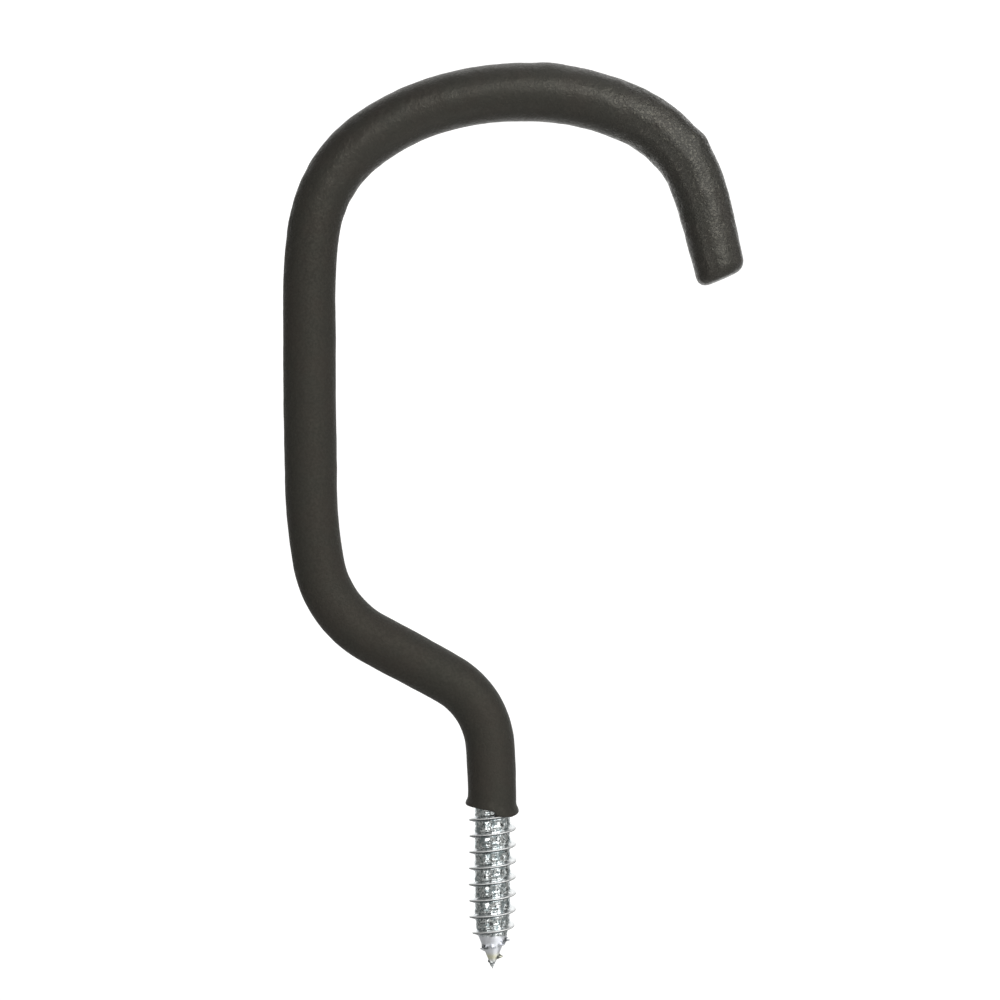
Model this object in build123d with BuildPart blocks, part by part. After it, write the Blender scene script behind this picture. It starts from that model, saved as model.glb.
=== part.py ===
from build123d import *
from math import atan, cos, degrees, radians, tan
import os

# Bicycle storage hook: a steel rod, rolled into a lag screw at one end and bent
# into a wheel hook at the other, dipped in soft vinyl from the screw to the tip.
# Millimetres, +Z up. The screw points down -Z. The origin is on the screw's axis,
# where the coating ends and the wall or joist begins. The hook lies in the XZ plane.

# Steel rod
rod_diameter = 6.9

# Centreline of the hook, from the screw to the tip, in the order it is bent
lean_radius = 124.0
lean_angle = 3.9
kick_radius = 14.4
kick_angle = 57.4
slope_run = 15.0
return_radius = 18.5
return_angle = 50.4
ease_radius = 78.0
ease_angle = 10.3
leg_run = 30.7
shoulder_lean_radius = 103.0
shoulder_lean_angle = 7.2
shoulder_radius = 23.9
shoulder_angle = 50.9
crown_radius = 47.5
crown_angle = 56.5
nose_radius = 21.4
nose_angle = 51.8
tip_run = 14.65

# Lag screw of 5/16 inch, with nine threads to the inch
thread_pitch = 2.82
thread_root_diameter = 6.05
thread_height = 0.97
thread_base_width = 1.3
thread_crest_width = 0.16
thread_sink = 0.12
full_turns = 6
first_turn_depth = 1.1

# The gimlet point narrows turn by turn: root radius, and height as a share of full
point_turns = [(2.75, 1.0), (2.1, 0.74), (0.9, 0.46)]
point_plain_length = 2.45
point_rounding = 0.2

# Inside the coating the thread runs out, and the rod swells to its full size
run_out_share = 0.3
shank_start = 1.2
shank_slope_length = 0.8

# Vinyl coating: its wall along the hook, and over the rod's sheared end
neck_wall = 0.72
slope_wall = 0.95
leg_wall = 1.08
shoulder_wall = 1.02
crown_wall = 1.58
nose_wall = 1.05
tip_wall = 0.92
end_wall = 1.7
end_rounding = 2.0
end_skew = 9.0

# The lip, where the coating drained and set over the first turn of the thread
lip_radius = 4.55
lip_height = 2.4
lip_tilt = 14.0
lip_low_side = -57.0
lip_rounding = 0.35

# Worked out from the sizes above
rod_radius = rod_diameter / 2
root_radius = thread_root_diameter / 2
shank_top = shank_start + shank_slope_length
lip_slope = tan(radians(lip_tilt))
lip_reach = 2 * lip_radius * lip_slope
lip_taper = degrees(atan((lip_radius - rod_radius - neck_wall / 2) / lip_height))
overrun = (rod_radius + tip_wall) * tan(radians(end_skew)) + end_rounding / 2
end_cutter = 2 * rod_diameter

with BuildLine(Plane.XZ) as centreline:
    neck = Line((0, -lip_reach), (0, shank_top))
    lean = JernArc(neck @ 1, neck % 1, lean_radius, lean_angle)
    kick = JernArc(lean @ 1, lean % 1, kick_radius, kick_angle)
    slope = PolarLine(kick @ 1, slope_run, direction=kick % 1)
    turn_back = JernArc(slope @ 1, slope % 1, return_radius, -return_angle)
    ease = JernArc(turn_back @ 1, turn_back % 1, ease_radius, -ease_angle)
    leg = PolarLine(ease @ 1, leg_run, direction=ease % 1)
    shoulder_lean = JernArc(leg @ 1, leg % 1, shoulder_lean_radius, -shoulder_lean_angle)
    shoulder = JernArc(shoulder_lean @ 1, shoulder_lean % 1, shoulder_radius, -shoulder_angle)
    crown = JernArc(shoulder @ 1, shoulder % 1, crown_radius, -crown_angle)
    nose = JernArc(crown @ 1, crown % 1, nose_radius, -nose_angle)
    tip = PolarLine(nose @ 1, tip_run + overrun, direction=nose % 1)
bent_path = [lean, kick, slope, turn_back, ease, leg, shoulder_lean, shoulder, crown, nose, tip]

# Both ends of the tip, the steel one and the vinyl one, lean from square by the skew
coating_end = Plane(
    nose @ 1 + (tip % 1) * tip_run,
    z_dir=(tip % 1).rotate(Axis.Y, end_skew),
)
rod_end = coating_end.offset(-end_wall)

# The lip's edge lies in a slanted plane through the origin
low_side = Vector(1, 0, 0).rotate(Axis.Z, lip_low_side)
lip_plane = Plane((0, 0, 0), z_dir=Vector(0, 0, 1) + low_side * lip_slope)

# Stations of the thread, downwards: height, root radius and share of the full height
thread_top = -first_turn_depth
stations = [
    (thread_top + thread_pitch, root_radius, run_out_share),
    (thread_top, root_radius, 1.0),
    (thread_top - full_turns * thread_pitch, root_radius, 1.0),
]
for turn_radius, share in point_turns:
    stations.append((stations[-1][0] - thread_pitch, turn_radius, share))
point_end = stations[-1][0] - point_plain_length


def tooth(z, radius, share):
    """Return the thread's section in the XZ plane at one station, its foot in the root."""
    crest = radius + thread_height * share
    half_base = (thread_base_width + thread_sink) / 2 * share
    half_crest = thread_crest_width / 2 * share
    with BuildSketch(Plane.XZ) as section:
        with BuildLine():
            Polyline(
                (radius - thread_sink, z - half_base),
                (crest, z - half_crest),
                (crest, z + half_crest),
                (radius - thread_sink, z + half_base),
                close=True,
            )
        make_face()
    return section.sketch.face()


def ridge(low, high):
    """Return the helical ridge between two stations.

    A helix on a cone climbs by its pitch along the cone's side, so there the pitch is
    lengthened, to keep whole turns from one station to the next.
    """
    climb = high[0] - low[0]
    taper = atan((high[1] - low[1]) / climb)
    with BuildLine() as turns:
        Helix(
            thread_pitch / cos(taper),
            climb,
            low[1],
            center=(0, 0, low[0]),
            cone_angle=degrees(taper),
        )
    with BuildPart() as band:
        sweep(
            [tooth(*low), tooth(*high)],
            path=turns.wire(),
            is_frenet=True,
            multisection=True,
        )
    return band.part


with BuildPart() as hook_rod:
    # Core of the screw, from the shank inside the coating down to the gimlet point
    with BuildSketch(Plane.XZ):
        with BuildLine():
            Polyline(
                (0, shank_top),
                (rod_radius, shank_top),
                (root_radius, shank_start),
                *[(radius, z) for z, radius, share in stations[2:]],
                (0, point_end),
            )
            mirror(about=Plane.YZ)
        make_face()
        fillet(vertices().sort_by(Axis.Y)[0], radius=point_rounding)
        split(bisect_by=Plane.YZ)
    revolve(axis=Axis.Z)
    for low, high in zip(stations[1:], stations):
        add(ridge(low, high))
    # The bent rod, swept from the shank and sheared off inside the tip
    with BuildSketch(Plane.XY.offset(shank_top)):
        Circle(rod_radius)
    sweep(path=bent_path)
    with BuildSketch(rod_end):
        Circle(end_cutter)
    extrude(amount=end_cutter, mode=Mode.SUBTRACT)
hook_rod.part.label = "hook_rod"

with BuildPart() as vinyl_coating:
    # Outer skin: a circle at each place where the wall changes, carried along the hook
    for piece, where, wall in (
        (neck, 0, neck_wall),
        (lean, 1, neck_wall),
        (slope, 0.5, slope_wall),
        (leg, 0.5, leg_wall),
        (shoulder_lean, 1, shoulder_wall),
        (crown, 0.45, crown_wall),
        (tip, 0, nose_wall),
        (tip, 1, tip_wall),
    ):
        with BuildSketch(Plane(piece @ where, z_dir=piece % where)):
            Circle(rod_radius + wall)
    sweep(path=centreline.wire(), multisection=True)
    # The closed tip, cut off on the skew and rounded
    with BuildSketch(coating_end):
        Circle(end_cutter)
    extrude(amount=end_cutter, mode=Mode.SUBTRACT)
    fillet(vinyl_coating.faces().filter_by(coating_end).edges(), radius=end_rounding)
    # The lip is cut on a slant, and a short collar swells to its rounded edge
    with BuildSketch(lip_plane):
        Circle(2 * lip_radius)
    extrude(amount=-2 * lip_reach, mode=Mode.SUBTRACT)
    with BuildSketch(lip_plane):
        Circle(lip_radius)
    extrude(amount=lip_height, taper=lip_taper)
    lip_face = vinyl_coating.faces().filter_by(lip_plane).sort_by(Axis.Z)[0]
    fillet(lip_face.edges(), radius=lip_rounding)
    # The bore is the rod itself, with the last of its thread
    add(hook_rod.part, mode=Mode.SUBTRACT)
vinyl_coating.part.label = "vinyl_coating"

os.makedirs("parts", exist_ok=True)
for piece in (hook_rod, vinyl_coating):
    export_step(piece.part, f"parts/{piece.part.label}.step")
    size = piece.part.bounding_box().size
    print(piece.part.label, [round(side, 2) for side in size], round(piece.part.volume, 1))
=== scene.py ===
"""Bicycle storage hook: a rod rolled into a lag screw, bent to a hook and dipped in vinyl.

Two surfaces are worked out on grids that follow the bent centreline: the steel rod with
its rolled thread, and the vinyl skin over it. Sizes are millimetres, and become metres
where a mesh is made. The screw points down, the hook lies in the XZ plane, and the origin
is on the screw's axis where the vinyl ends.
"""

import logging
import math
from collections.abc import Mapping, Sequence
from dataclasses import dataclass
from enum import Enum

import bmesh
import bpy
import numpy as np
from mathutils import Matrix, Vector

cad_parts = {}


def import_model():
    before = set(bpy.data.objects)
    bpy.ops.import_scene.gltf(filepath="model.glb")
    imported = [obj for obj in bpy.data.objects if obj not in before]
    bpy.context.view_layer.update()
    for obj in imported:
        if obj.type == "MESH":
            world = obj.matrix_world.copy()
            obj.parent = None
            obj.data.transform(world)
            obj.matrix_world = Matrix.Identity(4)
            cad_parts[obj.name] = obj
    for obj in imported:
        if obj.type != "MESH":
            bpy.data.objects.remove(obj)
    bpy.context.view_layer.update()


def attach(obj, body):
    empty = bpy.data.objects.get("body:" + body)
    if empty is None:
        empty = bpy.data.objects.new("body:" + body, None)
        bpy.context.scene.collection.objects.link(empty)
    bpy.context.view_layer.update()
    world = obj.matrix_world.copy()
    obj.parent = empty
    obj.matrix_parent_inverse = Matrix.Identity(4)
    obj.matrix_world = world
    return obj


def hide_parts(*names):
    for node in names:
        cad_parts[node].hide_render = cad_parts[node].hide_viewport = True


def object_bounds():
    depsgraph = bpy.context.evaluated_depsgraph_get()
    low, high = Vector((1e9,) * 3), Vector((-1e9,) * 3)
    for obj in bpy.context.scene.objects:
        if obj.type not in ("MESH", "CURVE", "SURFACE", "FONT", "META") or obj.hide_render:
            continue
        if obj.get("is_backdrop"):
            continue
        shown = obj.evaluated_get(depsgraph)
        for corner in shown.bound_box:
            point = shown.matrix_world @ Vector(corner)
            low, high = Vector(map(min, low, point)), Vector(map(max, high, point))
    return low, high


LOG = logging.getLogger("storage_hook")

MILLIMETRE = 0.001
MERGE_DISTANCE = 1e-6

# Watts from a square metre of softbox, for each unit of its glow
FACE_POWER = 4.0

# Readings that an eased table is averaged over, and waves that make up a ripple
WINDOW_READINGS = 9
RIPPLE_WAVES = 40

Table = Sequence[tuple[float, float]]
Span = tuple[float, float]
WHOLE: Span = (0.0, 1.0)


class Slot(Enum):
    """The record's material slots."""

    STEEL = "zinc_plated_steel"
    VINYL = "dipped_vinyl"


def linear(hex_colour: str) -> tuple[float, float, float, float]:
    """Turn an sRGB colour into the linear one that a shader takes.

    Args:
        hex_colour: The colour, such as "#35332e".

    Returns:
        Linear red, green and blue, and an alpha of 1.
    """
    parts = [int(hex_colour[start:start + 2], 16) / 255 for start in (1, 3, 5)]
    red, green, blue = (
        part / 12.92 if part <= 0.04045 else ((part + 0.055) / 1.055) ** 2.4
        for part in parts
    )
    return red, green, blue, 1.0


def per_metre(size: float) -> float:
    """Return the texture scale whose features are about one size, given in millimetres."""
    return 1 / (size * MILLIMETRE)


def ramp(value: np.ndarray, span: Span) -> np.ndarray:
    """Climb smoothly across a span, by 3t^2 - 2t^3 of the share t that is behind.

    Args:
        value: What is read on the ramp.
        span: The values where the ramp starts and ends.

    Returns:
        0 before the start, 1 past the end, and the ramp between them.
    """
    start, end = span
    share = np.clip((value - start) / (end - start), 0, 1)
    return share * share * (3 - 2 * share)


def eased(
    where: np.ndarray, table: Table, reach: float, period: float | None = None
) -> np.ndarray:
    """Read a table of stations, with its corners rounded.

    The straight-line reading is averaged over a window of plus and minus the reach.

    Args:
        where: Places to read at.
        table: Pairs of place and value, in order.
        reach: Half the width of the window.
        period: The table's length, where it runs in a circle.

    Returns:
        One value for each place.
    """
    stations, values = np.array(table).T
    window = np.linspace(-reach, reach, WINDOW_READINGS)
    readings = [np.interp(where + shift, stations, values, period=period) for shift in window]
    return np.mean(readings, axis=0)


@dataclass(frozen=True)
class Ripple:
    """A smooth, random unevenness: plane waves in random directions and phases, added up.

    Attributes:
        height: Its usual height.
        wavelength: The waves' middle wavelength.
        seed: Picks the waves.
    """

    height: float
    wavelength: float
    seed: int

    def read(self, points: np.ndarray) -> np.ndarray:
        """Read the unevenness.

        Args:
            points: Where it is read, with x, y and z on the last axis.

        Returns:
            Its height at each point.
        """
        chance = np.random.default_rng(self.seed)
        directions = chance.normal(size=(RIPPLE_WAVES, 3))
        directions /= np.linalg.norm(directions, axis=1, keepdims=True)
        steepness = 2 * np.pi / self.wavelength * chance.uniform(0.7, 1.4, (RIPPLE_WAVES, 1))
        phases = chance.uniform(0, 2 * np.pi, RIPPLE_WAVES)
        waves = np.cos(points @ (directions * steepness).T + phases)
        return self.height * (waves.sum(axis=-1) * math.sqrt(2 / RIPPLE_WAVES))


def ring_quads(rows: int, columns: int, climb: int = 0, inward: bool = False) -> np.ndarray:
    """Return the quads of a grid whose last column joins its first.

    Args:
        rows: Rows of points.
        columns: Points in each row.
        climb: Rows that the grid has climbed where it comes round, as on a screw.
        inward: Turns the faces over, for rows that run against the centreline.

    Returns:
        One line of four point numbers for each quad.
    """
    row, column = np.meshgrid(np.arange(rows - 1), np.arange(columns), indexing="ij")
    came_round = column == columns - 1
    beside = np.where(came_round, 0, column + 1)
    beside_row = row + np.where(came_round, climb, 0)
    quads = np.stack(
        [
            row * columns + column,
            beside_row * columns + beside,
            (beside_row + 1) * columns + beside,
            (row + 1) * columns + column,
        ],
        axis=-1,
    )[beside_row < rows - 1]
    return quads[:, ::-1] if inward else quads


def make_piece(
    name: str,
    points: np.ndarray,
    quads: np.ndarray,
    layers: Mapping[str, np.ndarray] | None = None,
) -> bpy.types.Object:
    """Make a smooth mesh object.

    Points that coincide, such as a pole's, become one, and the faces that this empties go.

    Args:
        name: The piece's name.
        points: Points in millimetres, x, y and z on the last axis.
        quads: Four point numbers for each face.
        layers: Named values, one for each point, that materials read.

    Returns:
        The object, linked to the scene, with its place in its mesh.
    """
    mesh = bpy.data.meshes.new(name)
    mesh.vertices.add(points.size // 3)
    mesh.vertices.foreach_set("co", (points * MILLIMETRE).astype(np.float32).ravel())
    mesh.loops.add(quads.size)
    mesh.loops.foreach_set("vertex_index", quads.astype(np.int32).ravel())
    mesh.polygons.add(len(quads))
    mesh.polygons.foreach_set("loop_start", np.arange(0, quads.size, 4, dtype=np.int32))
    mesh.update(calc_edges=True)
    for layer, values in (layers or {}).items():
        attribute = mesh.attributes.new(layer, "FLOAT", "POINT")
        attribute.data.foreach_set("value", values.astype(np.float32).ravel())
    surface = bmesh.new()
    surface.from_mesh(mesh)
    bmesh.ops.remove_doubles(surface, verts=surface.verts, dist=MERGE_DISTANCE)
    surface.to_mesh(mesh)
    surface.free()
    mesh.shade_smooth()
    piece = bpy.data.objects.new(name, mesh)
    bpy.context.scene.collection.objects.link(piece)
    return piece


def seat_piece(piece: bpy.types.Object, node: str) -> None:
    """Let a piece ride on the frame in place of a CAD node, which it hides.

    Args:
        piece: The piece.
        node: The CAD node that it stands for.
    """
    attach(piece, "root")
    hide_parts(node)
    LOG.info("%s: %d faces", piece.name, len(piece.data.polygons))


def add_node(
    tree: bpy.types.NodeTree,
    kind: str,
    inputs: Mapping[str | int, object] | None = None,
    **settings: object,
) -> bpy.types.Node:
    """Add a node, with its settings, and fill or link its sockets.

    Args:
        tree: The node tree.
        kind: The node's type, such as "ShaderNodeMix".
        inputs: A number, a colour or another node's output for each socket.
        **settings: The node's own properties.

    Returns:
        The node.
    """
    node = tree.nodes.new(kind)
    for name, value in settings.items():
        setattr(node, name, value)
    for socket, value in (inputs or {}).items():
        if isinstance(value, bpy.types.NodeSocket):
            tree.links.new(value, node.inputs[socket])
        else:
            node.inputs[socket].default_value = value
    return node


def new_material(name: str) -> bpy.types.Material:
    """Start a material.

    Args:
        name: What the material is named for: the real one, and how it was made.

    Returns:
        The material, with an empty node tree.
    """
    material = bpy.data.materials.new(name)
    material.use_nodes = True
    material.node_tree.nodes.clear()
    return material


def close_material(
    material: bpy.types.Material, inputs: Mapping[str, object]
) -> bpy.types.Material:
    """End a material's tree with a Principled shader.

    Args:
        material: The material.
        inputs: The shader's inputs.

    Returns:
        The same material.
    """
    tree = material.node_tree
    shader = add_node(tree, "ShaderNodeBsdfPrincipled", inputs)
    add_node(tree, "ShaderNodeOutputMaterial", {"Surface": shader.outputs[0]})
    return material


def add_place(tree: bpy.types.NodeTree) -> bpy.types.NodeSocket:
    """Add a reading of the place on the object, and return it."""
    return add_node(tree, "ShaderNodeTexCoord").outputs["Object"]


def add_layer(tree: bpy.types.NodeTree, name: str) -> bpy.types.NodeSocket:
    """Add a reading of one of the mesh's layers, and return its value."""
    return add_node(tree, "ShaderNodeAttribute", attribute_name=name).outputs["Fac"]


def add_noise(
    tree: bpy.types.NodeTree,
    place: bpy.types.NodeSocket,
    size: float,
    detail: float = 1.0,
    distortion: float = 0.0,
) -> bpy.types.NodeSocket:
    """Add cloudy noise.

    Args:
        tree: The node tree.
        place: Where it is read.
        size: About how large its features are, in millimetres.
        detail: How many times finer noise is laid over it.
        distortion: How far it is stirred.

    Returns:
        Its value, which is 0.5 in the middle.
    """
    inputs = {
        "Vector": place,
        "Scale": per_metre(size),
        "Detail": detail,
        "Distortion": distortion,
    }
    return add_node(tree, "ShaderNodeTexNoise", inputs).outputs["Fac"]


def add_dots(
    tree: bpy.types.NodeTree, place: bpy.types.NodeSocket, spacing: float
) -> bpy.types.NodeSocket:
    """Add strewn dots, about a spacing in millimetres apart.

    Args:
        tree: The node tree.
        place: Where they are read.
        spacing: How far apart they are.

    Returns:
        The distance to the nearest dot, in spacings.
    """
    inputs = {"Vector": place, "Scale": per_metre(spacing)}
    return add_node(tree, "ShaderNodeTexVoronoi", inputs).outputs["Distance"]


def add_math(tree: bpy.types.NodeTree, operation: str, *values: object) -> bpy.types.NodeSocket:
    """Add a step of arithmetic.

    Args:
        tree: The node tree.
        operation: The Math node's operation, such as "ADD".
        *values: The numbers or sockets that it works on, in order.

    Returns:
        The result.
    """
    inputs = dict(enumerate(values))
    return add_node(tree, "ShaderNodeMath", inputs, operation=operation).outputs[0]


def add_ramp(
    tree: bpy.types.NodeTree,
    value: bpy.types.NodeSocket,
    span: Span,
    heights: Span = WHOLE,
    easing: str = "SMOOTHSTEP",
) -> bpy.types.NodeSocket:
    """Add a ramp, which is level before its start and after its end.

    Args:
        tree: The node tree.
        value: What is read on the ramp.
        span: The values where the ramp starts and ends.
        heights: The ramp's height at its start and at its end.
        easing: The Map Range node's interpolation.

    Returns:
        The ramp's height at the value.
    """
    inputs = {
        "Value": value,
        "From Min": span[0],
        "From Max": span[1],
        "To Min": heights[0],
        "To Max": heights[1],
    }
    ramp_node = add_node(tree, "ShaderNodeMapRange", inputs, interpolation_type=easing)
    return ramp_node.outputs[0]


def lay_colour(
    tree: bpy.types.NodeTree, cover: object, under: object, over: object
) -> bpy.types.NodeSocket:
    """Lay one colour over another.

    Args:
        tree: The node tree.
        cover: How far the upper one covers, from 0 to 1.
        under: The lower colour.
        over: The upper colour.

    Returns:
        What is seen of both.
    """
    # A Mix node has sockets of its own for each type of data: these are the colours'.
    inputs = {0: cover, 6: under, 7: over}
    return add_node(tree, "ShaderNodeMix", inputs, data_type="RGBA").outputs[2]


def lay_number(
    tree: bpy.types.NodeTree, cover: object, under: object, over: object
) -> bpy.types.NodeSocket:
    """Lay one number over another, as lay_colour does with colours."""
    inputs = {0: cover, 2: under, 3: over}
    return add_node(tree, "ShaderNodeMix", inputs, data_type="FLOAT").outputs[0]


# Centreline


@dataclass(frozen=True)
class Stretch:
    """A stretch of the centreline, straight where its turn is 0.

    Attributes:
        length: Its length.
        turn: The angle that it turns, in radians, to the left where positive.
    """

    length: float
    turn: float = 0.0

    @classmethod
    def arc(cls, radius: float, angle: float) -> "Stretch":
        """Return an arc of a radius and an angle in degrees."""
        return cls(radius * math.radians(abs(angle)), math.radians(angle))


@dataclass(frozen=True)
class Centreline:
    """The line that the rod is bent to, from the lip up the neck and round to the tip.

    The neck is followed by its lean, the kick and slope that offset it, the return, the
    ease, the leg, the shoulder's lean, the shoulder, the crown, the nose and the tip.
    """

    stretches: tuple[Stretch, ...] = (
        Stretch(2.0),
        Stretch.arc(124.0, 3.9),
        Stretch.arc(14.4, 57.4),
        Stretch(15.0),
        Stretch.arc(18.5, -50.4),
        Stretch.arc(78.0, -10.3),
        Stretch(30.7),
        Stretch.arc(103.0, -7.2),
        Stretch.arc(23.9, -50.9),
        Stretch.arc(47.5, -56.5),
        Stretch.arc(21.4, -51.8),
        Stretch(14.65),
    )

    @property
    def length(self) -> float:
        """The path's whole length."""
        return sum(stretch.length for stretch in self.stretches)

    def tube(self, along: np.ndarray, angle: np.ndarray, radius: np.ndarray) -> np.ndarray:
        """Return points round the centreline.

        A stretch's heading grows evenly, so a place on it lies off the stretch's start by a
        chord, of length l sin(a/2) / (a/2) for an arc l that turns by a, at the mean
        heading. The angle starts at the hook's inner side and runs towards +Y.

        Args:
            along: Distance from the origin along the line.
            angle: Angle round the line, in radians.
            radius: Distance from the line.

        Returns:
            The points, with x, y and z on a last axis.
        """
        lengths = np.array([stretch.length for stretch in self.stretches])
        turns = np.array([stretch.turn for stretch in self.stretches])
        starts = np.concatenate([[0.0], np.cumsum(lengths)[:-1]])
        headings = np.concatenate([[0.0], np.cumsum(turns)[:-1]])
        chords = lengths * np.sinc(turns / (2 * np.pi))
        steps = chords[:, None] * self._direction(headings + turns / 2)
        corners = np.concatenate([np.zeros((1, 3)), np.cumsum(steps, axis=0)[:-1]])

        which = np.clip(np.searchsorted(starts, along, side="right") - 1, 0, None)
        rest = along - starts[which]
        turned = turns[which] / lengths[which] * rest
        chord = rest * np.sinc(turned / (2 * np.pi))
        centres = corners[which] + chord[..., None] * self._direction(
            headings[which] + turned / 2
        )
        heading = headings[which] + turned
        sideways = radius * np.cos(angle)
        offset = np.stack(
            [sideways * np.cos(heading), radius * np.sin(angle), sideways * np.sin(heading)],
            axis=-1,
        )
        return centres + offset

    @staticmethod
    def _direction(heading: np.ndarray) -> np.ndarray:
        """Return the unit vector of a heading, which is 0 straight up and grows to the left."""
        return np.stack([-np.sin(heading), np.zeros_like(heading), np.cos(heading)], axis=-1)


@dataclass(frozen=True)
class Lump:
    """A local swelling, or a dent where its height is negative.

    Attributes:
        along: Its middle, as a distance from the origin along the centreline.
        angle: Its middle, as an angle round the centreline, in degrees.
        height: Its height.
        length: Half its length along the line.
        width: Half its width, in degrees.
    """

    along: float
    angle: float
    height: float
    length: float
    width: float

    def raised(self, along: np.ndarray, angle: np.ndarray) -> np.ndarray:
        """Read the lump, a bell exp(-u^2 - v^2) of its height.

        Args:
            along: Distance from the origin along the centreline.
            angle: Angle round the centreline, in radians.

        Returns:
            How far the lump raises each place.
        """
        aside = (np.degrees(angle) - self.angle + 180) % 360 - 180
        return self.height * np.exp(
            -((along - self.along) / self.length) ** 2 - (aside / self.width) ** 2
        )


# Steel rod with its lag screw


@dataclass(frozen=True)
class ZincPlatedSteel:
    """Cold-rolled steel, zinc plated and blue passivated.

    The eye gets a cool white metal. Rolling leaves the root pressed in small patches, and its
    colour is mottled light and dark: partly the zinc's own matte patches, partly painted
    reflection of dark and bright surroundings, with dark specks of painted shade in its pits.
    The ridge's flanks are smooth, its crest is scuffed white, and the dark band under it is
    painted shade. The point is ground, a little lilac, with dark crumbs of swarf and a straw
    tint near its end. The finest grit is drawn coarser than it is, to show.
    """

    bright: str = "#f3f7f7"
    # The darker root colour: partly the zinc's own matte patches, partly painted reflection of
    # dark surroundings
    dull: str = "#96a1a3"
    # The root's dark specks: painted shade in its pits and painted dark reflection; also the
    # real colour of the swarf crumbs
    speck: str = "#3b4143"
    crest: str = "#fdfefe"
    painted_ridge_shade: str = "#5e6364"
    # The band under the ridge's crest: painted shade
    point: str = "#f2f4fa"
    tarnish: str = "#e6e3bc"
    grazing: str = "#f0f2f4"

    # Patterns: sizes in millimetres, how far they are stirred, and where they show
    patch_size: float = 1.1
    grain_size: float = 0.42
    grain_stir: float = 0.6
    mottle_span: Span = (0.82, 1.12)
    # The specks are painted shade in the root's pits and painted dark reflection
    speck_size: float = 0.34
    speck_stir: float = 0.4
    speck_clustering: float = 0.6
    speck_span: Span = (0.84, 0.98)
    pit_shade_cover: float = 0.85
    grit_size: float = 0.2
    grit_share: float = 0.3
    grain_depth: float = 0.026
    relief: Span = (1.0, 0.25)

    # Roughness: the root's dull and bright patches, and the smoother or ground places
    root_roughness: Span = (0.3, 0.18)
    flank_roughness: float = 0.28
    crest_roughness: float = 0.6
    point_roughness: float = 0.46

    def build(self) -> bpy.types.Material:
        """Build the finish.

        Returns:
            The material, which reads the layers of the screw, such as ridge and point.
        """
        material = new_material("zinc_plated_rolled_steel")
        tree = material.node_tree
        place = add_place(tree)
        ridge, point = add_layer(tree, "ridge"), add_layer(tree, "point")
        patches = add_noise(tree, place, self.patch_size, detail=2.0)
        grain = add_noise(tree, place, self.grain_size, distortion=self.grain_stir)
        mottle = add_ramp(tree, add_math(tree, "ADD", grain, patches), self.mottle_span)
        # Dark specks on the root: painted shade in its pits and painted dark reflection
        specks = add_noise(tree, place, self.speck_size, distortion=self.speck_stir)
        clustered = add_math(tree, "MULTIPLY_ADD", patches, self.speck_clustering, specks)
        painted_pit_shade = add_ramp(tree, clustered, self.speck_span, (0.0, self.pit_shade_cover))

        # The mottle lays the darker colour over the bright: partly the zinc's own matte
        # patches, partly painted dark reflection
        colour = lay_colour(tree, mottle, linear(self.dull), linear(self.bright))
        for cover, over in (
            # Dark specks: painted shade and painted dark reflection
            (painted_pit_shade, self.speck),
            (point, self.point),
            (add_layer(tree, "tarnish"), self.tarnish),
            (ridge, self.crest),
            # Painted shade in a band under the ridge's crest
            (add_layer(tree, "under"), self.painted_ridge_shade),
            (add_layer(tree, "crumbs"), self.speck),
        ):
            colour = lay_colour(tree, cover, colour, linear(over))

        roughness = add_ramp(tree, mottle, WHOLE, self.root_roughness, "LINEAR")
        for cover, over in (
            (ridge, self.flank_roughness),
            (add_layer(tree, "crest"), self.crest_roughness),
            (point, self.point_roughness),
        ):
            roughness = lay_number(tree, cover, roughness, over)

        grit = add_dots(tree, place, self.grit_size)
        calm = add_math(tree, "MAXIMUM", ridge, point)
        bump = add_node(
            tree,
            "ShaderNodeBump",
            {
                "Height": add_math(tree, "MULTIPLY_ADD", grit, self.grit_share, grain),
                "Strength": add_ramp(tree, calm, WHOLE, self.relief, "LINEAR"),
                "Distance": self.grain_depth * MILLIMETRE,
            },
        )
        return close_material(
            material,
            {
                "Base Color": colour,
                "Metallic": 1.0,
                "Specular Tint": linear(self.grazing),
                "Roughness": roughness,
                "Normal": bump.outputs[0],
            },
        )


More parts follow.
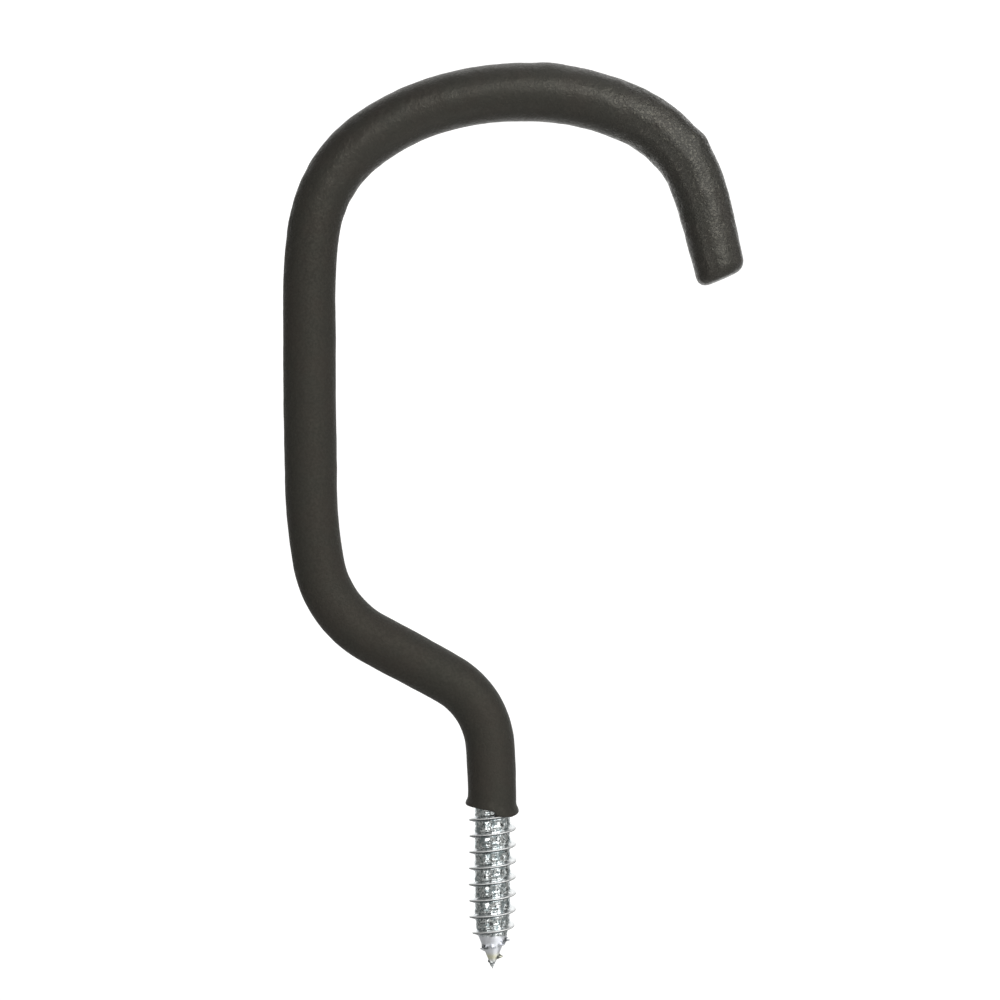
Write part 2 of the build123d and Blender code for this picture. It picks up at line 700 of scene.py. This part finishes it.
@dataclass(frozen=True)
class RolledRod:
    """The steel rod: a lag screw rolled on one end, and a plain shank inside the vinyl.

    Heights are negative below the lip. The ridge is as high as its share says, times the
    thread's height. A span says where a form or a finish starts and where it is full.
    """

    line: Centreline
    rod_radius: float = 3.45
    screw_top: float = 1.2
    screw_tip: float = -28.5
    shank_start: float = 2.0
    shank_blend: float = 0.3
    core: Table = (
        (-28.5, 0.0),
        (-28.1, 0.17),
        (-24.2, 1.86),
        (-22.7, 2.48),
        (-20.7, 2.88),
        (-18.7, 3.03),
        (1.2, 3.03),
        (2.0, 3.45),
    )
    core_reach: float = 0.12

    # The ridge, and the seam that rolling folds up on the root above it
    pitch: float = 2.82
    crest_start: float = -1.1
    thread_height: float = 1.04
    half_base: float = 0.4
    half_crest: float = 0.13
    flank_power: float = 1.6
    ridge_share: Table = (
        (-28.5, 0.0),
        (-27.4, 0.25),
        (-24.4, 0.4),
        (-23.4, 0.8),
        (-22.2, 0.9),
        (-21.3, 1.0),
        (-1.1, 1.0),
        (0.9, 0.4),
        (1.2, 0.0),
    )
    share_reach: float = 0.25
    fold_rise: float = 0.98
    fold_height: float = 0.1
    fold_width: float = 0.32

    # What rolling leaves uneven: the root, and the ridge's height
    pressing: tuple[Ripple, ...] = (Ripple(0.009, 0.9, 11), Ripple(0.005, 0.45, 12))
    pressed_span: Span = (0.625, 0.0)
    sway: Ripple = Ripple(0.03, 5.0, 13)

    # The ground point, where the ridge is crumbled and swarf sticks
    point_span: Span = (-22.2, -22.8)
    worn_span: Span = (-26.8, -27.3)
    worn_share: float = 0.8
    crumbled_share: float = 0.35
    crumbling: Ripple = Ripple(0.6, 0.9, 14)
    crumbled_limits: Span = (0.05, 1.5)
    burrs: tuple[Lump, ...] = (
        Lump(-24.5, 220.0, 0.32, 0.45, 34.0),
        Lump(-23.3, 336.0, 0.35, 0.5, 22.0),
        Lump(-26.3, 350.0, 0.8, 0.35, 30.0),
        Lump(-27.2, 200.0, 0.3, 0.25, 40.0),
    )
    burr_room: float = 0.6
    tarnish_height: float = -26.3
    tarnish_reach: float = 0.6
    tarnish_share: float = 0.7

    # Where the finish's layers start and are full, read on the ridge and on the burrs
    ridge_span: Span = (0.0, 0.4545)
    crest_span: Span = (0.82, 0.97)
    # These place the band of painted shade under the ridge's crest
    ridge_shade_span: Span = (0.02, -0.06)
    ridge_shade_fade_span: Span = (0.1, 0.35)
    ridge_shade_share: float = 0.95
    crumb_span: Span = (0.0571, 0.2)
    crumb_grain: Ripple = Ripple(1.0, 0.5, 15)
    crumb_grain_span: Span = (-1.375, -0.125)
    crumb_share: float = 0.85

    # The sheared end inside the tip
    end_wall: float = 1.7
    end_skew: float = 9.0
    skew_span: Span = (12.0, 0.0)

    # The grid
    columns: int = 168
    rows_each_turn: int = 32
    row_crowding: float = 1.6
    turns_below: int = 12
    turns_above: int = 3
    pole_height: float = 0.06
    shank_step: float = 5.0

    def core_radius(self, height: np.ndarray) -> np.ndarray:
        """Return the radius without the ridge at heights on the straight neck."""
        return eased(height, self.core, self.core_reach)

    def skew(self, radius: np.ndarray, angle: np.ndarray, before_end: np.ndarray) -> np.ndarray:
        """Return how far points near the tip slide along the line, so that its end leans.

        Args:
            radius: Distance from the line.
            angle: Angle round the line, in radians.
            before_end: Distance to the end along the line.

        Returns:
            The shift along the line of each point.
        """
        lean = math.tan(math.radians(self.end_skew))
        return radius * np.cos(angle) * lean * ramp(before_end, self.skew_span)

    def build(self) -> bpy.types.Object:
        """Build the screw and the shank, and join them.

        Returns:
            The rod as one closed piece.
        """
        angles = np.linspace(0, 2 * np.pi, self.columns, endpoint=False)
        screw_points, layers = self._screw(angles)
        shank_points = self._shank(angles)
        quads = np.concatenate(
            [
                ring_quads(len(screw_points), self.columns, climb=self.rows_each_turn),
                ring_quads(len(shank_points), self.columns) + screw_points[..., 0].size,
            ]
        )
        plain = np.zeros(shank_points.shape[:2])
        piece = make_piece(
            "rolled_rod",
            np.concatenate([screw_points, shank_points]),
            quads,
            {name: np.concatenate([values, plain]) for name, values in layers.items()},
        )
        piece.data.materials.append(ZincPlatedSteel().build())
        seat_piece(piece, "hook_rod")
        return piece

    def _heights(self, angles: np.ndarray) -> np.ndarray:
        """Lay out the rows of the screw's grid.

        The rows climb with the thread, one pitch each time round, so that one row runs along
        the crest and the rows beside it are close together. Past both ends the rows lie on
        the end's ring or pole, where they merge.

        Args:
            angles: The grid's angles round the screw, in radians.

        Returns:
            The height of each point, row by row.
        """
        share = np.linspace(-1, 1, self.rows_each_turn, endpoint=False)
        offsets = self.pitch / 2 * np.sign(share) * np.abs(share) ** self.row_crowding
        turns = np.arange(-self.turns_below, self.turns_above)
        starts = (self.crest_start + self.pitch * turns[:, None] + offsets).ravel()
        climbing = starts[:, None] + self.pitch * angles / (2 * np.pi)
        height = np.clip(climbing, self.screw_tip, self.screw_top)
        height[height < self.screw_tip + self.pole_height] = self.screw_tip
        return height

    def _screw(self, angles: np.ndarray) -> tuple[np.ndarray, dict[str, np.ndarray]]:
        """Roll the screw: its core, ridge and seam, pressed root, crumbled point and burrs.

        The ridge is (1 - s)^p high where s runs from 0 at its crest to 1 at its foot, and
        the seam on the root is a bell, exp(-u^2).

        Args:
            angles: The grid's angles round the screw, in radians.

        Returns:
            The points, and by layer how far each is on the ridge, the point and so on.
        """
        height = self._heights(angles)
        angle = np.broadcast_to(angles, height.shape)
        to_shank = np.clip((self.screw_top - height) / self.shank_blend, 0, 1)

        phase = (height - self.crest_start) / self.pitch - angle / (2 * np.pi)
        above_crest = (phase - np.round(phase)) * self.pitch
        slope = np.clip((np.abs(above_crest) - self.half_crest) / self.half_base, 0, 1)
        ridge = (1 - slope) ** self.flank_power
        grown = eased(height, self.ridge_share, self.share_reach) * to_shank
        past_fold = phase - self.fold_rise / self.pitch
        from_fold = (past_fold - np.round(past_fold)) * self.pitch
        fold = self.fold_height * np.exp(-((from_fold / self.fold_width) ** 2))

        core = self.core_radius(height)
        place = self.line.tube(height, angle, core)
        point = ramp(height, self.point_span)
        root = 1 - point
        crumbled = np.clip(
            self.crumbled_share + self.crumbling.read(place), *self.crumbled_limits
        )
        ridge_height = self.thread_height * grown * ridge * (
            (1 + self.sway.read(place)) * root + crumbled * point
        )
        pressed = sum(ripple.read(place) for ripple in self.pressing) + fold
        pressed = pressed * ramp(ridge, self.pressed_span) * root
        burrs = sum(burr.raised(height, angle) for burr in self.burrs)
        room = np.clip(core / self.burr_room, 0, 1) * to_shank
        radius = (core + ridge_height + room * (pressed + burrs)) * (height > self.screw_tip)

        from_tarnish = (height - self.tarnish_height) / self.tarnish_reach
        # Painted shade in a band under the crest, kept in the layer called under
        under = ramp(above_crest, self.ridge_shade_span) * ramp(ridge, self.ridge_shade_fade_span)
        grained = ramp(self.crumb_grain.read(place), self.crumb_grain_span)
        layers = {
            "ridge": ramp(ridge * grown, self.ridge_span) * root,
            "crest": ramp(ridge, self.crest_span) * root,
            "under": self.ridge_shade_share * under * grown * root,
            "point": point * (1 - self.worn_share * ramp(height, self.worn_span)),
            "crumbs": self.crumb_share * ramp(burrs, self.crumb_span) * grained,
            "tarnish": self.tarnish_share * np.exp(-(from_tarnish**2)),
        }
        return self.line.tube(height, angle, radius), layers

    def _shank(self, angles: np.ndarray) -> np.ndarray:
        """Draw the plain shank, up to the sheared end inside the vinyl.

        Args:
            angles: The grid's angles round the rod, in radians.

        Returns:
            The shank's points.
        """
        end = self.line.length - self.end_wall
        along = np.concatenate(
            [
                np.linspace(self.screw_top, self.shank_start, 5),
                np.arange(2 * self.shank_start, end - self.shank_step, self.shank_step),
                [end, end, end],
            ]
        )[:, None]
        inwards = np.ones_like(along)
        inwards[-2:, 0] = 0.5, 0.0
        swelling = self.core_radius(along)
        radius = np.where(along < self.shank_start, swelling, self.rod_radius) * inwards
        angle = np.broadcast_to(angles, (len(along), len(angles)))
        radius = np.broadcast_to(radius, angle.shape)
        return self.line.tube(along + self.skew(radius, angle, end - along), angle, radius)


# Vinyl coating


@dataclass(frozen=True)
class DippedVinyl:
    """Soft black PVC plastisol, dipped hot and cured.

    The eye gets a matte and slightly warm black, with a faint bloom along its edges. Where
    the coat is thick, round the bend, it has pits, fine leathery wrinkles and a glossier
    skin, so there the light makes a soft streak that breaks into specks.
    """

    warm: str = "#2e2b28"
    cool: str = "#2c2b28"
    glint: str = "#fffae6"

    # Patterns: sizes in millimetres, and where they show
    cloud_size: float = 6.0
    cloud_span: Span = (0.38, 0.62)
    speck_size: float = 0.42
    speck_span: Span = (0.36, 0.64)
    pebble_size: float = 0.6
    pebble_stir: float = 0.8
    pit_spacing: float = 1.6
    pit_span: Span = (0.06, 0.16)
    pit_depth: float = 0.14
    relief: float = 0.14

    # Gloss: the body from its matte to its glossy parts, and the skin and bloom over it
    ior: float = 1.53
    specular_level: float = 0.35
    body_roughness: Span = (0.72, 0.35)
    speck_roughness: Span = (-0.14, 0.14)
    skin_span: Span = (0.3, 1.0)
    skin_weight: Span = (0.0, 0.4)
    skin_roughness: float = 0.42
    bloom_weight: float = 0.1
    bloom_roughness: float = 0.4

    def build(self) -> bpy.types.Material:
        """Build the finish.

        Returns:
            The material, which reads the layers called wrinkle and gloss.
        """
        material = new_material("dipped_pvc_plastisol")
        tree = material.node_tree
        place = add_place(tree)
        wrinkle, gloss = add_layer(tree, "wrinkle"), add_layer(tree, "gloss")
        clouds = add_noise(tree, place, self.cloud_size, detail=4.0)
        tint = add_ramp(tree, clouds, self.cloud_span)
        specks = add_noise(tree, place, self.speck_size)
        pebbles = add_noise(tree, place, self.pebble_size, distortion=self.pebble_stir)
        pit_floor = add_ramp(tree, add_dots(tree, place, self.pit_spacing), self.pit_span)
        loose = add_math(tree, "MULTIPLY", pebbles, wrinkle)
        bump = add_node(
            tree,
            "ShaderNodeBump",
            {
                "Height": add_math(tree, "MULTIPLY_ADD", pit_floor, self.pit_depth, loose),
                "Strength": 1.0,
                "Distance": self.relief * MILLIMETRE,
            },
        )
        even = add_ramp(tree, gloss, WHOLE, self.body_roughness, "LINEAR")
        speck = add_ramp(tree, specks, self.speck_span, self.speck_roughness)
        skin = add_ramp(tree, gloss, self.skin_span, self.skin_weight, "LINEAR")
        return close_material(
            material,
            {
                "Base Color": lay_colour(tree, tint, linear(self.warm), linear(self.cool)),
                "Roughness": add_math(tree, "MULTIPLY_ADD", speck, wrinkle, even),
                "IOR": self.ior,
                "Specular IOR Level": self.specular_level,
                "Specular Tint": linear(self.glint),
                "Sheen Weight": self.bloom_weight,
                "Sheen Roughness": self.bloom_roughness,
                "Coat Weight": skin,
                "Coat Roughness": self.skin_roughness,
                "Normal": bump.outputs[0],
            },
        )


@dataclass(frozen=True)
class VinylCoating:
    """The vinyl skin, a closed sock: outside from the tip to the lip, and back up its bore.

    The wall and the wrinkles are read along the centreline, and the lip's height above or
    below the origin is read round the neck, in degrees from the hook's inner side. The sag
    is how far the drying coat slid towards the hook's outer side.
    """

    line: Centreline
    rod: RolledRod
    wall: Table = (
        (0.0, 0.77),
        (10.0, 0.79),
        (20.0, 0.88),
        (28.0, 1.01),
        (37.0, 1.10),
        (43.0, 1.01),
        (50.0, 0.98),
        (64.0, 1.03),
        (73.0, 1.12),
        (79.0, 1.19),
        (85.0, 1.15),
        (91.0, 1.13),
        (97.0, 1.17),
        (104.0, 1.13),
        (112.0, 1.09),
        (122.0, 1.18),
        (130.0, 1.39),
        (140.0, 1.43),
        (150.0, 1.45),
        (158.0, 1.55),
        (163.0, 1.63),
        (170.0, 1.60),
        (180.0, 1.56),
        (187.0, 1.48),
        (191.0, 1.43),
        (197.0, 1.30),
        (205.0, 1.21),
        (210.0, 1.04),
        (214.0, 0.90),
    )
    sag: Table = (
        (95.0, 0.08),
        (110.0, 0.09),
        (117.0, 0.03),
        (128.0, 0.08),
        (133.0, 0.03),
        (142.0, 0.14),
        (150.0, 0.04),
        (156.0, -0.10),
        (161.0, -0.12),
        (165.0, -0.03),
        (170.0, 0.00),
        (179.0, 0.00),
        (183.0, -0.08),
        (189.0, -0.10),
        (195.0, -0.04),
        (199.0, -0.19),
        (204.0, -0.05),
        (212.0, -0.09),
    )
    lumps: tuple[Lump, ...] = (
        Lump(166.6, 180.0, 0.24, 1.9, 45.0),
        Lump(192.9, 180.0, 0.46, 1.3, 40.0),
    )
    wrinkles: Table = (
        (0.0, 0.4),
        (30.0, 0.5),
        (100.0, 0.5),
        (118.0, 1.0),
        (128.0, 0.9),
        (142.0, 0.6),
        (165.0, 0.6),
        (180.0, 0.9),
        (187.0, 1.7),
        (198.0, 1.7),
        (206.0, 1.1),
        (216.0, 0.9),
    )
    gloss: Table = (
        (0.0, 0.25),
        (20.0, 0.2),
        (60.0, 0.05),
        (112.0, 0.05),
        (122.0, 0.5),
        (132.0, 0.65),
        (165.0, 0.7),
        (180.0, 0.85),
        (187.0, 1.0),
        (199.0, 1.0),
        (207.0, 0.9),
    )
    lip: Table = (
        (0.0, -1.2),
        (20.0, -0.8),
        (50.0, -0.1),
        (90.0, 0.6),
        (140.0, 0.6),
        (180.0, 0.2),
        (225.0, -0.05),
        (250.0, -0.3),
        (266.0, -0.45),
        (274.0, -0.62),
        (277.0, -1.0),
        (280.0, -1.35),
        (290.0, -1.57),
        (317.0, -1.7),
        (338.0, -1.48),
    )
    wall_reach: float = 3.0
    sag_reach: float = 1.5
    finish_reach: float = 6.0
    lip_reach: float = 3.0
    waves: Ripple = Ripple(0.03, 16.0, 21)
    wrinkling: tuple[Ripple, ...] = (Ripple(0.02, 3.2, 22), Ripple(0.01, 1.4, 23))
    lip_span: Span = (0.0, 8.0)
    lip_zone: float = 3.0
    lip_flare: float = 0.44
    flare_length: float = 0.7
    bead_radius: float = 0.25
    meniscus: float = 0.18
    end_rounding: float = 2.0
    clearance: float = 0.02

    # The grid
    columns: int = 168
    skin_step: float = 0.5
    bore_step: float = 2.5
    cap_rows: int = 7
    corner_rows: int = 13
    flare_rows: int = 24
    bead_rows: int = 9
    under_rows: int = 7
    bore_neck: tuple[float, ...] = (0.6, 1.5, 2.4, 3.2)
    bore_start: float = 6.0

    def outer_radius(self, along: np.ndarray, angle: np.ndarray) -> np.ndarray:
        """Add up the rod, the wall, the lumps, the sag, and the skin's waves and wrinkles.

        Args:
            along: Distance from the origin along the centreline.
            angle: Angle round the centreline, in radians.

        Returns:
            The coating's outer radius.
        """
        radius = self.rod.rod_radius + eased(along, self.wall, self.wall_reach)
        place = self.line.tube(along, angle, radius)
        loose = eased(along, self.wrinkles, self.finish_reach)
        swelling = sum(lump.raised(along, angle) for lump in self.lumps)
        aside = eased(along, self.sag, self.sag_reach) * np.cos(angle)
        skin = loose * sum(ripple.read(place) for ripple in self.wrinkling)
        return radius + swelling - aside + self.waves.read(place) + skin

    def build(self) -> bpy.types.Object:
        """Build the outside, the lip and the bore as one run of rows.

        Returns:
            The coating as one closed piece.
        """
        angle = np.linspace(0, 2 * np.pi, self.columns, endpoint=False)[None, :]
        top = self.line.length
        outside = self._outside(angle, top)
        lip = self._lip(angle)
        bore = self._bore(angle, top)
        above_lip = np.concatenate([part[0] for part in (outside, lip, bore)])
        radius = np.concatenate([part[1] for part in (outside, lip, bore)])
        angle = np.broadcast_to(angle, radius.shape)

        edge = eased(np.degrees(angle), self.lip, self.lip_reach, period=360.0)
        drop = edge * (1 - ramp(above_lip, self.lip_span))
        along = above_lip + drop + self.rod.skew(radius, angle, top - above_lip)
        piece = make_piece(
            "dipped_coating",
            self.line.tube(along, angle, radius),
            ring_quads(len(radius), self.columns, inward=True),
            {
                "wrinkle": eased(along, self.wrinkles, self.finish_reach),
                "gloss": eased(along, self.gloss, self.finish_reach),
            },
        )
        piece.data.materials.append(DippedVinyl().build())
        seat_piece(piece, "vinyl_coating")
        return piece

    def _outside(self, angle: np.ndarray, top: float) -> tuple[np.ndarray, np.ndarray]:
        """Draw the end's cap, its rounding and the skin.

        The rounding is a quarter circle of radius q, set back by q(1 - cos a) along the tip
        and by q(1 - sin a) from the skin.

        Args:
            angle: The grid's angles, as one row.
            top: The height of the end.

        Returns:
            Heights above the lip, and radii.
        """
        rounding = self.end_rounding
        cap_share = np.linspace(0, 1, self.cap_rows, endpoint=False)[:, None]
        cap_radius = cap_share * (self.outer_radius(np.full_like(angle, top), angle) - rounding)
        turn = np.linspace(0, np.pi / 2, self.corner_rows)[:, None]
        set_back = top - rounding * (1 - np.cos(turn)) + 0 * angle
        corner_radius = self.outer_radius(set_back, angle) - rounding * (1 - np.sin(turn))
        rows = round((top - rounding - self.lip_zone) / self.skin_step)
        skin = np.linspace(top - rounding, self.lip_zone, rows)[1:, None] + 0 * angle
        height = np.concatenate([np.full_like(cap_radius, top), set_back, skin])
        radius = np.concatenate([cap_radius, corner_radius, self.outer_radius(skin, angle)])
        return height, radius

    def _lip(self, angle: np.ndarray) -> tuple[np.ndarray, np.ndarray]:
        """Draw the lip's flare, its bead and its underside.

        The flare swells out as a bell towards the bead, a quarter circle, and the underside
        runs in to the steel, a little lower there, where the vinyl wetted it.

        Args:
            angle: The grid's angles, as one row.

        Returns:
            Heights above the lip, and radii.
        """
        bead = self.bead_radius
        rows = np.linspace(self.lip_zone, bead, self.flare_rows)[1:, None] + 0 * angle
        swell = self.lip_flare * np.exp(-(((rows - bead) / self.flare_length) ** 2))
        flare_radius = self.outer_radius(rows, angle) + swell
        turn = np.linspace(0, np.pi / 2, self.bead_rows)[1:, None]
        bead_height = bead * (1 - np.sin(turn)) + 0 * angle
        bead_outer = flare_radius[-1:] - bead * (1 - np.cos(turn))
        share = np.linspace(0, 1, self.under_rows)[1:, None]
        seat = self.rod.core_radius(np.zeros(1)) - self.clearance
        under_height = -self.meniscus * share**2 + 0 * angle
        under_radius = bead_outer[-1:] * (1 - share) + seat * share
        height = np.concatenate([rows, bead_height, under_height])
        radius = np.concatenate([flare_radius, bead_outer, under_radius])
        return height, radius

    def _bore(self, angle: np.ndarray, top: float) -> tuple[np.ndarray, np.ndarray]:
        """Draw the bore and its closed end.

        Args:
            angle: The grid's angles, as one row.
            top: The height of the coating's own end.

        Returns:
            Heights above the lip, and radii.
        """
        end = top - self.rod.end_wall + self.clearance
        height = np.concatenate(
            [
                self.bore_neck,
                np.arange(self.bore_start, end - 1, self.bore_step),
                [end, end, end],
            ]
        )
        height = height[:, None] + 0 * angle
        swelling = self.rod.core_radius(height)
        radius = np.where(height < self.rod.shank_start, swelling, self.rod.rod_radius)
        radius = radius + self.clearance
        radius[-2] *= 0.5
        radius[-1] = 0.0
        return height, radius


# Studio


@dataclass(frozen=True)
class Softbox:
    """A rectangular studio light, aimed at the hook.

    Attributes:
        name: The light's name.
        bearing: Its angle to the right of the camera, seen from the hook, in degrees.
        rise: Its angle above the hook, in degrees.
        distance: Its distance from the hook, in metres.
        size: Its width and height, in metres.
        glow: How bright its face is, where white paper in full light is 1.
    """

    name: str
    bearing: float
    rise: float
    distance: float
    size: tuple[float, float]
    glow: float

    def build(self, target: Vector) -> None:
        """Add the light.

        Args:
            target: The place that it is turned to.
        """
        data = bpy.data.lights.new(self.name, "AREA")
        data.shape = "RECTANGLE"
        data.size, data.size_y = self.size
        data.energy = FACE_POWER * self.size[0] * self.size[1] * self.glow
        bearing, rise = math.radians(self.bearing), math.radians(self.rise)
        towards = Vector(
            (
                math.sin(bearing) * math.cos(rise),
                -math.cos(bearing) * math.cos(rise),
                math.sin(rise),
            )
        )
        light = bpy.data.objects.new(self.name, data)
        light.location = target + towards * self.distance
        light.rotation_euler = (-towards).to_track_quat("-Z", "Y").to_euler()
        light.visible_camera = False
        bpy.context.scene.collection.objects.link(light)


@dataclass(frozen=True)
class Studio:
    """A plain pale floor that curves up to a wall all round, soft lights and the camera.

    The wall behind the hook glows, so that the hook stands on white, as cut out. The left
    and right boxes are near and low, where the sides of the screw mirror them.
    """

    floor_height: float = -0.14
    flat_radius: float = 1.0
    curve_radius: float = 0.5
    wall_height: float = 2.0
    flat_rows: int = 8
    curve_rows: int = 17
    columns: int = 96
    paper: str = "#b4b4b2"
    paper_glow: float = 0.84
    glow_span: Span = (-0.02, 0.5)
    glow_slant: float = -0.85
    sky: str = "#f4f6f8"
    sky_strength: float = 0.1
    camera_place: tuple[float, float, float] = (0.00131, -0.46, 0.05322)
    camera_lens: float = 95.0
    softboxes: tuple[Softbox, ...] = (
        Softbox("key_softbox", 20.0, 23.0, 1.1, (0.9, 0.64), 3.0),
        Softbox("high_softbox", 56.0, 40.0, 1.1, (0.6, 0.45), 2.0),
        Softbox("side_softbox", 85.0, 2.0, 1.1, (0.3, 0.8), 0.8),
        Softbox("left_softbox", -35.0, -10.0, 0.45, (0.12, 0.21), 2.3),
        Softbox("right_softbox", 40.0, -10.0, 0.45, (0.13, 0.21), 0.85),
        Softbox("back_softbox", 180.0, 64.0, 1.2, (0.9, 0.6), 0.9),
        Softbox("top_softbox", 20.0, 75.0, 1.3, (0.9, 0.7), 0.5),
        Softbox("low_card", 50.0, -58.0, 0.2, (0.16, 0.05), 1.2),
    )

    def build(self) -> None:
        """Add the floor, the lights, the world and the camera."""
        self._floor()
        low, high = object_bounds()
        for softbox in self.softboxes:
            softbox.build((low + high) / 2)
        self._world()
        self._camera()
        bpy.context.scene.view_settings.view_transform = "Standard"
        LOG.info("studio: %d softboxes", len(self.softboxes))

    def _floor(self) -> None:
        """Add the floor: a disc, a quarter circle and a wall, turned about the Z axis."""
        turn = np.linspace(0, np.pi / 2, self.curve_rows)
        out = np.concatenate(
            [
                np.linspace(0, self.flat_radius, self.flat_rows, endpoint=False),
                self.flat_radius + self.curve_radius * np.sin(turn),
                [self.flat_radius + self.curve_radius],
            ]
        )
        up = np.concatenate(
            [
                np.zeros(self.flat_rows),
                self.curve_radius * (1 - np.cos(turn)),
                [self.wall_height],
            ]
        )
        angle = np.linspace(0, 2 * np.pi, self.columns, endpoint=False)
        points = np.stack(
            [
                out[:, None] * np.cos(angle),
                out[:, None] * np.sin(angle),
                (up + self.floor_height)[:, None] + 0 * angle,
            ],
            axis=-1,
        )
        floor = make_piece(
            "studio_floor", points / MILLIMETRE, ring_quads(len(out), len(angle), inward=True)
        )
        floor.data.materials.append(self._paper())
        floor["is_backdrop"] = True

    def _paper(self) -> bpy.types.Material:
        """Build matte white paper, which glows behind the hook and is dimmer before it.

        It glows by how far behind the hook it is, less a share of how far aside.

        Returns:
            The material.
        """
        material = new_material("white_backdrop_paper")
        tree = material.node_tree
        axes = add_node(tree, "ShaderNodeSeparateXYZ", {"Vector": add_place(tree)})
        aside = add_math(tree, "ABSOLUTE", axes.outputs["X"])
        behind = add_math(tree, "MULTIPLY_ADD", aside, self.glow_slant, axes.outputs["Y"])
        glow = add_ramp(tree, behind, self.glow_span, (0.0, self.paper_glow))
        return close_material(
            material,
            {
                "Base Color": linear(self.paper),
                "Roughness": 0.9,
                "Specular IOR Level": 0.0,
                "Emission Color": linear("#ffffff"),
                "Emission Strength": glow,
            },
        )

    def _world(self) -> None:
        """Set a dim, even sky, which fills the open top of the studio."""
        world = bpy.data.worlds.new("studio_sky")
        world.use_nodes = True
        background = world.node_tree.nodes["Background"]
        background.inputs["Color"].default_value = linear(self.sky)
        background.inputs["Strength"].default_value = self.sky_strength
        bpy.context.scene.world = world

    def _camera(self) -> None:
        """Add the camera, level and square to the hook."""
        data = bpy.data.cameras.new("camera")
        data.lens = self.camera_lens
        camera = bpy.data.objects.new("camera", data)
        camera.location = self.camera_place
        camera.rotation_euler = (math.pi / 2, 0, 0)
        bpy.context.scene.collection.objects.link(camera)
        bpy.context.scene.camera = camera


def main() -> None:
    """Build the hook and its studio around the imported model."""
    logging.basicConfig(level=logging.INFO, format="%(name)s: %(message)s")
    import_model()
    line = Centreline()
    rod = RolledRod(line)
    rod.build()
    VinylCoating(line, rod).build()
    Studio().build()


if __name__ == "__main__":
    main()
